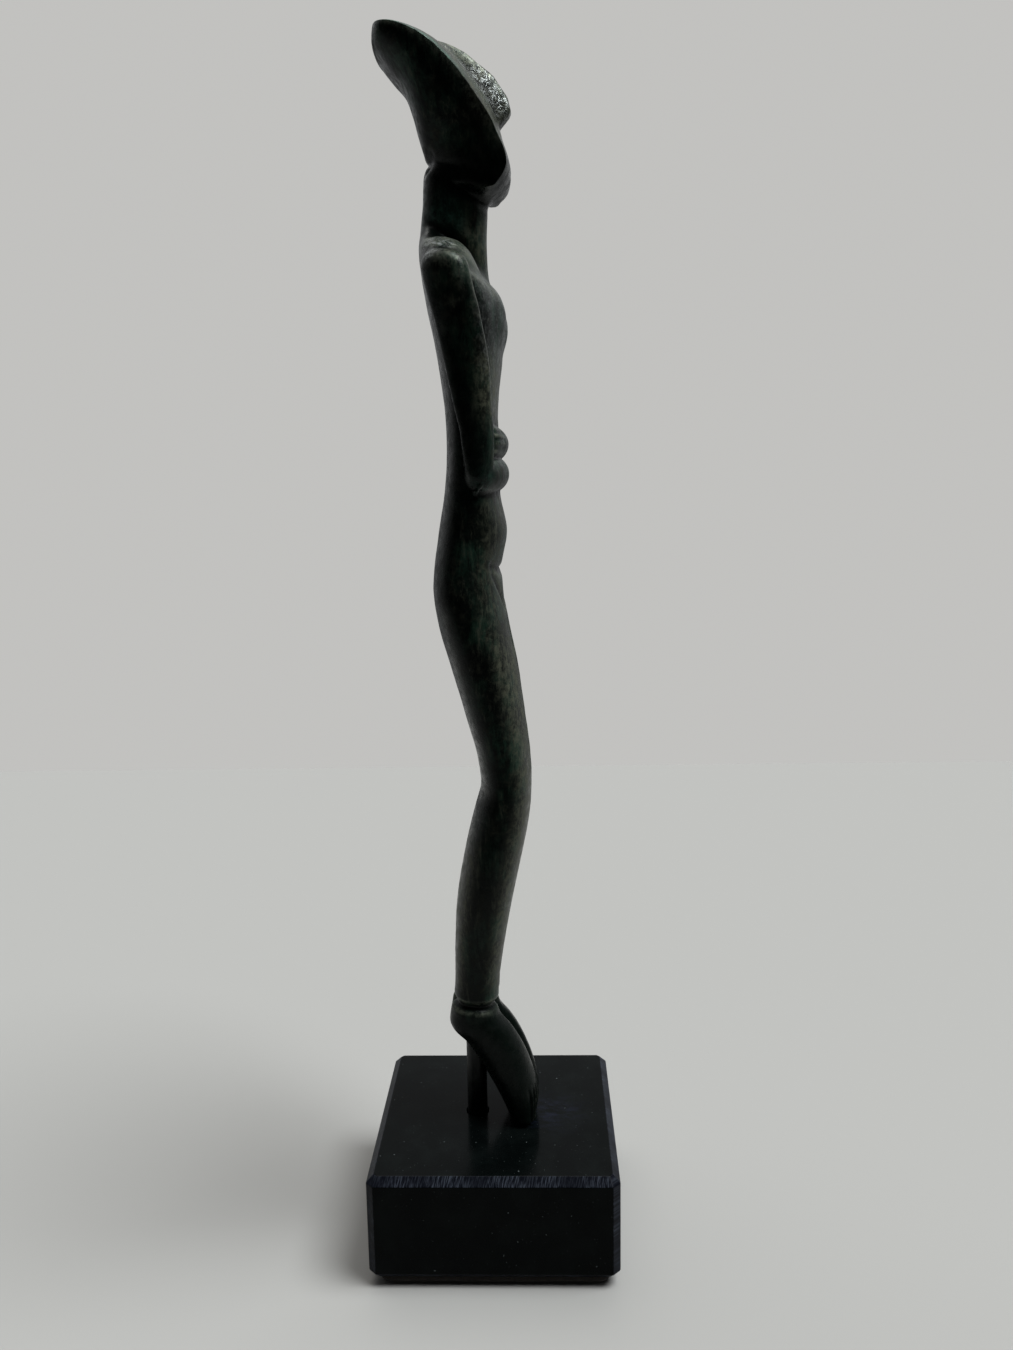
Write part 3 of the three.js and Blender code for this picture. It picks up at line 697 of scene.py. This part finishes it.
placed_grid = to_frame(figure_grid)
crown_pole = placed_grid[0].mean(axis=0)
toe_pole = placed_grid[-1].mean(axis=0)
casting_mesh = mesh_from_grid("idol_casting", placed_grid, crown_pole, toe_pole)
skin_values = {
    "wear_and_highlight": wear_and_highlight, "hollow": hollow, "rough_skin": rough, "pale_rub_and_light": pale_rub_and_light, "teal": teal, "painted_shade": painted_shade,
}
for value_name, values in skin_values.items():
    add_point_value(casting_mesh, value_name, np.append(values.ravel(), (values[0, 0], values[-1, 0])))
casting = piece_from_mesh("idol_casting", casting_mesh)
print("growth:", growth / MM, "vertices:", len(casting_mesh.vertices))

# %% [markdown]
# ## The patina
#
# The bronze is stained almost black with green in it. Rubbed ridges show paler grey-green, hollows are
# blacker, and thin olive and teal clouds lie over the rest. Light and shade are painted in as well:
# highlights on the face's edge, the collar and the back's rim, paler fronts and shoulders, glints on the
# rough skin, and shade under the jaw, on the arms' backs, the sides and the feet. One material does it:
# noise on Object coordinates gives the clouds, and the values stored on the mesh find the ridges, the
# grooves, the painted light and the painted shade. The sheen is that of wax on a stained skin, so it is
# only part metal.


# %% A small kit for node materials
def new_material(name):
    material = bpy.data.materials.new(name)
    material.use_nodes = True
    return material, material.node_tree, material.node_tree.nodes["Principled BSDF"]


def give(socket, value):
    """An input takes a number or a colour, or a link from another node's output in the same tree."""
    if isinstance(value, bpy.types.NodeSocket):
        socket.id_data.links.new(value, socket)
    else:
        socket.default_value = value


def set_inputs(node, **inputs):
    """Values or sockets by the input's name, in which an underscore stands for a space."""
    for key, value in inputs.items():
        give(node.inputs[key.replace("_", " ")], value)


def add_node(tree, kind, settings=None, **inputs):
    """A node with its settings and its inputs."""
    node = tree.nodes.new(kind)
    for key, value in (settings or {}).items():
        setattr(node, key, value)
    set_inputs(node, **inputs)
    return node


def object_place(tree, stretch=(1.0, 1.0, 1.0)):
    """Object coordinates, stretched for a pattern that runs one way."""
    place = add_node(tree, "ShaderNodeTexCoord").outputs["Object"]
    return add_node(tree, "ShaderNodeMapping", Scale=stretch, Vector=place).outputs["Vector"]


def noise_value(vector, size_mm, detail=4.0, roughness=0.55, distortion=0.0):
    """Noise whose blotches are about this many millimetres wide."""
    node = add_node(
        vector.id_data, "ShaderNodeTexNoise", Vector=vector, Scale=1.0 / (size_mm * MM),
        Detail=detail, Roughness=roughness, Distortion=distortion,
    )
    return node.outputs["Fac"]


def ramp_value(value, low, high, to_low=0.0, to_high=1.0):
    """A value between low and high becomes one between to_low and to_high, smoothly."""
    node = add_node(
        value.id_data, "ShaderNodeMapRange", {"interpolation_type": "SMOOTHSTEP"},
        Value=value, From_Min=low, From_Max=high, To_Min=to_low, To_Max=to_high,
    )
    return node.outputs["Result"]


def arithmetic(operation, *values):
    node = add_node(values[0].id_data, "ShaderNodeMath", {"operation": operation})
    for socket, value in zip(node.inputs, values):
        give(socket, value)
    return node.outputs[0]


def times(first, second):
    return arithmetic("MULTIPLY", first, second)


def blend_colour(factor, first, second):
    """The first colour where the factor is 0 and the second where it is 1."""
    node = add_node(factor.id_data, "ShaderNodeMix", {"data_type": "RGBA"}, Factor=factor)
    for key, colour in (("A", first), ("B", second)):
        socket = next(s for s in node.inputs if s.name == key and s.type == "RGBA")
        give(socket, colour if isinstance(colour, bpy.types.NodeSocket) else (*colour, 1.0))
    return next(s for s in node.outputs if s.type == "RGBA")


def mesh_value(tree, name):
    return add_node(tree, "ShaderNodeAttribute", {"attribute_name": name}).outputs["Fac"]


def add_bump(shader, heights, distance_mm):
    """Bump from one height value, in real millimetres."""
    bump = add_node(shader.id_data, "ShaderNodeBump", Height=heights, Distance=distance_mm * MM, Strength=1.0)
    set_inputs(shader, Normal=bump.outputs["Normal"])


# %% Patinated bronze
PATINA_IOR = 1.19


def patinated_bronze():
    material, tree, shader = new_material("patinated_bronze")
    place = object_place(tree)
    clouds = noise_value(place, 9.0, detail=5.0, roughness=0.6)
    flecks = noise_value(place, 1.6, detail=5.0, roughness=0.7)
    specks = noise_value(place, 0.8, detail=4.0, roughness=0.75, distortion=0.6)
    along_height = object_place(tree, stretch=(1.0, 1.0, 0.2))
    streaks = noise_value(along_height, 1.5, detail=6.0, roughness=0.75)
    fibres = noise_value(object_place(tree, stretch=(1.0, 1.0, 0.4)), 0.7, detail=4.0, roughness=0.8)
    worn_and_lit = mesh_value(tree, "wear_and_highlight")
    rough = mesh_value(tree, "rough_skin")
    hollow_here = mesh_value(tree, "hollow")
    black_green = (0.0026, 0.0042, 0.0034)
    dark_green = (0.0110, 0.0275, 0.0185)
    olive = (0.0200, 0.0220, 0.0140)
    rubbed = (0.0500, 0.0540, 0.0400)
    grey_green = (0.1450, 0.1580, 0.1250)
    pale_grey = (0.3000, 0.3200, 0.3150)
    pale_green = (0.0900, 0.0950, 0.0660)
    teal_salt_and_highlight = (0.0500, 0.1500, 0.1150)
    deep_black = (0.0016, 0.0024, 0.0020)
    cloud_share = ramp_value(clouds, 0.42, 0.60)
    green_veil = times(cloud_share, ramp_value(streaks, 0.38, 0.58))
    colour = blend_colour(green_veil, black_green, dark_green)
    colour = blend_colour(ramp_value(flecks, 0.52, 0.66, 0.0, 0.6), colour, olive)
    colour = blend_colour(ramp_value(streaks, 0.54, 0.68, 0.0, 0.65), colour, rubbed)
    broken = ramp_value(arithmetic("MAXIMUM", flecks, fibres), 0.44, 0.66, 0.08, 1.0)
    # Pale patina: partly rubbed, partly painted light on the faces that the lamps reach.
    pale_rub_and_light_here = times(mesh_value(tree, "pale_rub_and_light"), broken)
    colour = blend_colour(times(pale_rub_and_light_here, 0.8), colour, pale_green)
    # Teal: copper salts on the elbows and the neck's sides, and a painted highlight along the face's edge.
    teal_here = times(mesh_value(tree, "teal"), broken)
    colour = blend_colour(times(teal_here, 0.75), colour, teal_salt_and_highlight)
    # Painted shade: the shade value blackens the colour, and ridges in it lose most of their pale highlight.
    painted_shade_here = mesh_value(tree, "painted_shade")
    colour = blend_colour(times(painted_shade_here, 0.96), colour, black_green)
    out_of_shade = ramp_value(painted_shade_here, 0.0, 1.0, 1.0, 0.3)
    # Grey-green on the ridges: real wear, with painted highlights on the face's edge, the collar and the
    # back's rim.
    broken_wear_and_highlight = times(times(worn_and_lit, broken), out_of_shade)
    colour = blend_colour(times(broken_wear_and_highlight, 0.8), colour, grey_green)
    # Pale grey specks on the rough skin: bare metal, brightened as painted glints on the nose and the
    # shoulders.
    bare_specks_and_glints = times(rough, ramp_value(specks, 0.48, 0.64, 0.05, 0.9))
    colour = blend_colour(bare_specks_and_glints, colour, pale_grey)
    colour = blend_colour(times(hollow_here, 0.85), colour, deep_black)
    matt = ramp_value(flecks, 0.35, 0.70, 0.27, 0.52)
    polish = ramp_value(painted_shade_here, 0.0, 1.0, 0.0, 0.08)
    polish = arithmetic("ADD", polish, ramp_value(rough, 0.3, 1.0, 0.0, 0.14))
    bare = arithmetic("MAXIMUM", broken_wear_and_highlight, bare_specks_and_glints)
    metallic = ramp_value(bare, 0.0, 1.0, 0.15, 0.75)
    matt = arithmetic("SUBTRACT", matt, polish)
    set_inputs(shader, Base_Color=colour, Roughness=matt, Metallic=metallic, IOR=PATINA_IOR)
    rough_here = arithmetic("MULTIPLY_ADD", rough, 2.4, 0.7)
    grain_height = arithmetic("ADD", times(flecks, 0.7), times(specks, 0.4))
    add_bump(shader, times(grain_height, rough_here), 0.11)
    return material


casting.data.materials.append(patinated_bronze())
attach(casting, "root")
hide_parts("figurine")
print("casting finished with", casting.data.materials[0].name)

# %% [markdown]
# ## The rod
#
# A plain blackened steel rod holds the figure by the heels. It is a profile turned round a standing
# axis, and faint drawn lines run along its skin.

# %% Rod
ROD_COLUMNS = 64
rod_low, rod_high = span("support_rod")
rod_axis = (rod_low + rod_high) / 2
rod_radius = (rod_high[0] - rod_low[0]) / 2


def turned_surface(name, profile, centre, columns):
    """A profile of (radius, height) carried round a standing axis, closed at both ends."""
    turns = 2 * np.pi * np.arange(columns) / columns
    radius, height = np.array(profile).T
    grid = np.stack([
        centre[0] + radius[:, None] * np.cos(turns),
        centre[1] - radius[:, None] * np.sin(turns),
        np.repeat(height[:, None], columns, axis=1),
    ], axis=-1)
    poles = [np.array((centre[0], centre[1], height[index])) for index in (0, -1)]
    return mesh_from_grid(name, grid, *poles)


ROD_ROWS = 40
ROD_EDGE = 0.25 * MM
ROD_WAVE = 0.012 * MM
rod_heights = np.linspace(rod_high[2] - ROD_EDGE, rod_low[2] + ROD_EDGE, ROD_ROWS)
rod_waves = ROD_WAVE * np.sin(np.linspace(0.0, 23.0, ROD_ROWS))
rod_profile = [(rod_radius - ROD_EDGE, rod_high[2])]
rod_profile += list(zip(rod_radius - ROD_WAVE + rod_waves, rod_heights))
rod_profile += [(rod_radius - ROD_EDGE, rod_low[2])]
rod = piece_from_mesh("heel_rod", turned_surface("heel_rod", rod_profile, rod_axis, ROD_COLUMNS))


def blackened_steel():
    material, tree, shader = new_material("blackened_steel")
    lines = noise_value(object_place(tree, stretch=(1.0, 1.0, 0.06)), 0.5, detail=3.0)
    blotches = noise_value(object_place(tree), 2.4, detail=4.0)
    black_oxide = (0.004, 0.005, 0.005)
    grey_steel = (0.014, 0.017, 0.016)
    colour = blend_colour(ramp_value(blotches, 0.45, 0.7), black_oxide, grey_steel)
    matt = ramp_value(lines, 0.3, 0.7, 0.28, 0.46)
    set_inputs(shader, Base_Color=colour, Roughness=matt, Metallic=0.6)
    add_bump(shader, lines, 0.03)
    return material


rod.data.materials.append(blackened_steel())
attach(rod, "root")
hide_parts("support_rod")
print("rod radius in mm:", round(rod_radius / MM, 2))

# %% [markdown]
# ## The stone
#
# The block is black stone, sawn square, polished, and chamfered on every edge with a grinder. It is one
# sheet of outlines: from the middle of the underside out, up the side, in over the top and down the
# rod's hole. Every outline has the same number of points, so plain quads join them, and a small Bevel
# takes the razor edge off, as polishing does.

# %% Stone
stone_low, stone_high = span("base_block")
STONE_CHAMFER = 1.5 * MM
ROD_CLEARANCE = 0.3 * MM
LONG_STEPS = 14
SHORT_STEPS = 3


def cut_square(half_x, half_y, cut):
    """Points round a rectangle with cut corners: each long side in even steps, then each short one."""
    corners = [
        (half_x, -half_y + cut), (half_x, half_y - cut), (half_x - cut, half_y), (-half_x + cut, half_y),
        (-half_x, half_y - cut), (-half_x, -half_y + cut), (-half_x + cut, -half_y), (half_x - cut, -half_y),
    ]
    points = []
    for index, start in enumerate(corners):
        end = corners[(index + 1) % len(corners)]
        steps = LONG_STEPS if index % 2 == 0 else SHORT_STEPS
        shares = np.arange(steps)[:, None] / steps
        points.append(np.array(start) * (1 - shares) + np.array(end) * shares)
    return np.vstack(points)


stone_half = (stone_high - stone_low)[:2] / 2
inner_half = stone_half - STONE_CHAMFER
inner_cut = STONE_CHAMFER * (np.sqrt(2.0) - 1.0)
outer_ring = cut_square(*stone_half, STONE_CHAMFER)
inner_ring = cut_square(*inner_half, inner_cut)
ring_turns = np.arctan2(outer_ring[:, 1] - rod_axis[1], outer_ring[:, 0] - rod_axis[0])
hole_radius = rod_radius + ROD_CLEARANCE
hole_ring = np.stack([np.cos(ring_turns), np.sin(ring_turns)], axis=-1) * hole_radius + rod_axis[:2]
stone_rings = (
    (inner_ring * 0.5, stone_low[2]),
    (inner_ring, stone_low[2]),
    (outer_ring, stone_low[2] + STONE_CHAMFER),
    (outer_ring, stone_high[2] - STONE_CHAMFER),
    (inner_ring, stone_high[2]),
    ((inner_ring + hole_ring) / 2, stone_high[2]),
    (hole_ring, stone_high[2]),
    (hole_ring, rod_low[2]),
)
stone_grid = np.stack([np.column_stack([ring, np.full(len(ring), level)]) for ring, level in stone_rings])
underside_pole = np.array((0.0, 0.0, stone_low[2]))
hole_pole = np.array((rod_axis[0], rod_axis[1], rod_low[2]))
stone_mesh = mesh_from_grid("stone_block", stone_grid, underside_pole, hole_pole)
stone = piece_from_mesh("stone_block", stone_mesh, smooth=False)
soft_edges = stone.modifiers.new("polished edges", "BEVEL")
soft_edges.width = 0.16 * MM
soft_edges.segments = 2
soft_edges.limit_method = "ANGLE"
soft_edges.angle_limit = np.radians(25.0)
print("stone size in mm:", ((stone_high - stone_low) / MM).round(1))


# %% Polished black stone
STONE_IOR = 1.125
SMUDGE_PLACE = (-1.0 * MM, -12.0 * MM, stone_high[2])
SMUDGE_REACH = 10.0 * MM


def polished_stone():
    material, tree, shader = new_material("polished_black_stone")
    place = object_place(tree)
    clouds = noise_value(place, 6.0, detail=6.0, roughness=0.6)
    crystals = noise_value(place, 0.45, detail=2.0)
    pin_marks = noise_value(place, 0.9, detail=1.0)
    black = (0.0010, 0.0016, 0.0016)
    green_black = (0.0022, 0.0032, 0.0031)
    pale_crystal = (0.060, 0.070, 0.070)
    colour = blend_colour(ramp_value(clouds, 0.4, 0.7), black, green_black)
    colour = blend_colour(ramp_value(crystals, 0.70, 0.80, 0.0, 0.6), colour, pale_crystal)
    colour = blend_colour(ramp_value(pin_marks, 0.77, 0.80, 0.0, 0.9), colour, pale_crystal)
    from_smudge = tree.nodes.new("ShaderNodeVectorMath")
    from_smudge.operation = "DISTANCE"
    tree.links.new(place, from_smudge.inputs[0])
    from_smudge.inputs[1].default_value = SMUDGE_PLACE
    smudge = ramp_value(from_smudge.outputs["Value"], 0.0, SMUDGE_REACH, 1.0, 0.0)
    wiped = noise_value(object_place(tree, stretch=(1.0, 0.4, 1.0)), 1.8, detail=5.0, roughness=0.75)
    smudge = times(smudge, ramp_value(wiped, 0.42, 0.64))
    blue_dust = (0.0055, 0.0068, 0.0125)
    colour = blend_colour(smudge, colour, blue_dust)
    smears = noise_value(object_place(tree, stretch=(1.0, 0.35, 1.0)), 5.0, detail=5.0, roughness=0.7)
    matt = ramp_value(smears, 0.35, 0.7, 0.13, 0.24)
    set_inputs(shader, Base_Color=colour, Roughness=matt, IOR=STONE_IOR)
    add_bump(shader, crystals, 0.006)
    return material


def ground_stone():
    """The chamfers: the same stone left matt by the grinder, with marks slanting across the band.

    On every chamfer the sum of X and Y runs along or down the band, and so does the height. Adding
    them slants the pattern, which is fine across the marks and long along them."""
    material, tree, shader = new_material("ground_black_stone")
    axes = add_node(tree, "ShaderNodeSeparateXYZ", Vector=object_place(tree))
    level_way = arithmetic("ADD", axes.outputs["X"], axes.outputs["Y"])
    across = arithmetic("ADD", level_way, times(axes.outputs["Z"], -0.7))
    along = times(axes.outputs["Z"], 0.15)
    slanted = add_node(tree, "ShaderNodeCombineXYZ", X=across, Y=along).outputs["Vector"]
    marks = noise_value(slanted, 0.26, detail=2.0, roughness=0.6)
    patches = noise_value(object_place(tree), 6.0, detail=3.0)
    patch_share = ramp_value(patches, 0.38, 0.58, 0.25)
    shown = times(ramp_value(marks, 0.42, 0.70), patch_share)
    blue_black = (0.0030, 0.0036, 0.0060)
    ground_grey = (0.034, 0.040, 0.053)
    colour = blend_colour(shown, blue_black, ground_grey)
    matt = ramp_value(marks, 0.35, 0.7, 0.28, 0.45)
    set_inputs(shader, Base_Color=colour, Roughness=matt, IOR=STONE_IOR)
    add_bump(shader, marks, 0.03)
    return material


stone.data.materials.append(polished_stone())
stone.data.materials.append(ground_stone())
steepest = np.abs([face.normal[:] for face in stone.data.polygons]).max(axis=1)
is_chamfer = (steepest < 0.95) & (steepest > 0.3)
inside_hole = np.array([
    np.hypot(face.center.x - rod_axis[0], face.center.y - rod_axis[1]) < hole_radius * 1.05
    for face in stone.data.polygons
])
ground = is_chamfer & ~inside_hole
stone.data.polygons.foreach_set("material_index", ground.astype(np.int32))
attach(stone, "root")
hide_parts("base_block")
print("ground faces:", int(ground.sum()))

# %% [markdown]
# ## The felt pad
#
# Under the stone is a thin brown-black felt, cut a little smaller. Its edge is soft and not quite
# straight, so the outlines here are pushed in and out a little with noise.

# %% Felt
pad_low, pad_high = span("felt_pad")
pad_half = (pad_high - pad_low)[:2] / 2
PAD_STEPS = 60
PAD_ROUND = 0.35 * MM
PAD_RINGS = (0.6, 0.25)


def pad_ring(inset, level):
    """A square outline with small round corners, pulled in by an inset and roughened by fibres."""
    turns = 2 * np.pi * (np.arange(4 * PAD_STEPS) + 0.5) / (4 * PAD_STEPS)
    power = 22.0
    radius = (np.abs(np.cos(turns)) ** power + np.abs(np.sin(turns)) ** power) ** (-1.0 / power)
    ring = np.stack([np.cos(turns), np.sin(turns)], axis=-1) * radius[:, None] * (pad_half - inset)
    points = np.column_stack([ring, np.full(len(ring), level)])
    fibres = 0.12 * MM * (0.5 + 0.5 * lattice_noise(points / MM, 0.9, 31)) * (inset < 2 * MM)
    shrink = 1.0 - fibres[:, None] / pad_half[0]
    return np.column_stack([points[:, :2] * shrink, points[:, 2]])


pad_rows = [pad_ring(pad_half[0] * share, pad_low[2]) for share in PAD_RINGS]
for share in np.linspace(0.0, 1.0, 9):
    swing = np.sin(np.pi * share)
    level = pad_low[2] + share * (pad_high[2] - pad_low[2])
    pad_rows.append(pad_ring(PAD_ROUND * (1.0 - swing), level))
pad_rows += [pad_ring(pad_half[0] * share, pad_high[2]) for share in PAD_RINGS[::-1]]
pad_poles = [np.array((0.0, 0.0, level)) for level in (pad_low[2], pad_high[2])]
pad = piece_from_mesh("felt_sole", mesh_from_grid("felt_sole", np.stack(pad_rows), *pad_poles))


def brown_felt():
    material, tree, shader = new_material("brown_felt")
    fibres = noise_value(object_place(tree), 0.4, detail=5.0, roughness=0.8)
    dark_fibre = (0.010, 0.008, 0.006)
    brown_fibre = (0.034, 0.027, 0.021)
    colour = blend_colour(ramp_value(fibres, 0.35, 0.7), dark_fibre, brown_fibre)
    set_inputs(shader, Base_Color=colour, Roughness=0.95, Sheen_Weight=0.25)
    add_bump(shader, fibres, 0.15)
    return material


pad.data.materials.append(brown_felt())
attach(pad, "root")
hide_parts("felt_pad")
print("felt size in mm:", ((pad_high - pad_low) / MM).round(1))

# %% [markdown]
# ## Floor and light
#
# A plain pale floor, and soft light from above and from the figure's front, as in the photograph: the
# side that faces the camera stays dark, and the ledges, the face and the shoulders catch the light.

# %% Floor
FLOOR_NEAR = -0.16
FLOOR_FAR = 0.40
FLOOR_HALF = 0.60
floor_mesh = bpy.data.meshes.new("floor")
floor_corners = [(FLOOR_NEAR, -FLOOR_HALF, 0.0), (FLOOR_FAR, -FLOOR_HALF, 0.0),
                 (FLOOR_FAR, FLOOR_HALF, 0.0), (FLOOR_NEAR, FLOOR_HALF, 0.0)]
floor_mesh.from_pydata(floor_corners, [], [(0, 1, 2, 3)])
floor = piece_from_mesh("floor", floor_mesh, smooth=False)
floor_material, _, floor_shader = new_material("pale_floor")
FLOOR_COLOUR = (0.335, 0.330, 0.318, 1.0)
set_inputs(floor_shader, Base_Color=FLOOR_COLOUR, Roughness=0.9, Specular_IOR_Level=0.1)
floor.data.materials.append(floor_material)


# %% Light
def soft_sun(name, turn_degrees, height_degrees, spread_degrees, strength, colour):
    """A far, soft lamp. Its turn is counted from +X towards +Y, and its height from the floor."""
    data = bpy.data.lights.new(name, "SUN")
    data.energy = strength
    data.angle = np.radians(spread_degrees)
    data.color = colour
    lamp = bpy.data.objects.new(name, data)
    bpy.context.scene.collection.objects.link(lamp)
    turn, height = np.radians((turn_degrees, height_degrees))
    source = Vector((np.cos(turn) * np.cos(height), np.sin(turn) * np.cos(height), np.sin(height)))
    lamp.rotation_euler = source.to_track_quat("Z", "Y").to_euler()
    return lamp


# turn, height and spread in degrees, strength, colour
KEY_SUN = (-105.0, 64.0, 30.0, 3.9, (0.95, 0.985, 1.0))
TOP_SUN = (20.0, 74.0, 50.0, 1.1, (1.0, 0.99, 0.96))
ROOM_COLOUR = (0.97, 0.985, 1.0, 1.0)
BACKDROP_COLOUR = (0.540, 0.537, 0.523, 1.0)
soft_sun("key", *KEY_SUN)
soft_sun("top", *TOP_SUN)

world = bpy.data.worlds.new("soft_room")
world.use_nodes = True
bpy.context.scene.world = world
world_tree = world.node_tree
world_tree.nodes.clear()
direction = add_node(world_tree, "ShaderNodeTexCoord").outputs["Generated"]
split = add_node(world_tree, "ShaderNodeSeparateXYZ", Vector=direction)
behind = ramp_value(split.outputs["X"], -0.3, 0.8, 0.02, 0.50)
overhead = ramp_value(split.outputs["Z"], -0.1, 0.35, 0.45, 1.15)
glow = times(behind, overhead)
room = add_node(world_tree, "ShaderNodeBackground", Color=ROOM_COLOUR, Strength=glow)
backdrop = add_node(world_tree, "ShaderNodeBackground", Color=BACKDROP_COLOUR, Strength=1.0)
seen = add_node(world_tree, "ShaderNodeLightPath").outputs["Is Camera Ray"]
mixed = add_node(world_tree, "ShaderNodeMixShader", Fac=seen)
world_tree.links.new(room.outputs[0], mixed.inputs[1])
world_tree.links.new(backdrop.outputs[0], mixed.inputs[2])
world_output = add_node(world_tree, "ShaderNodeOutputWorld")
world_tree.links.new(mixed.outputs[0], world_output.inputs["Surface"])
bpy.context.scene.view_settings.view_transform = "Standard"

# %% [markdown]
# ## Last step
#
# The view layer is brought up to date.

# %% Finish
bpy.context.view_layer.update()
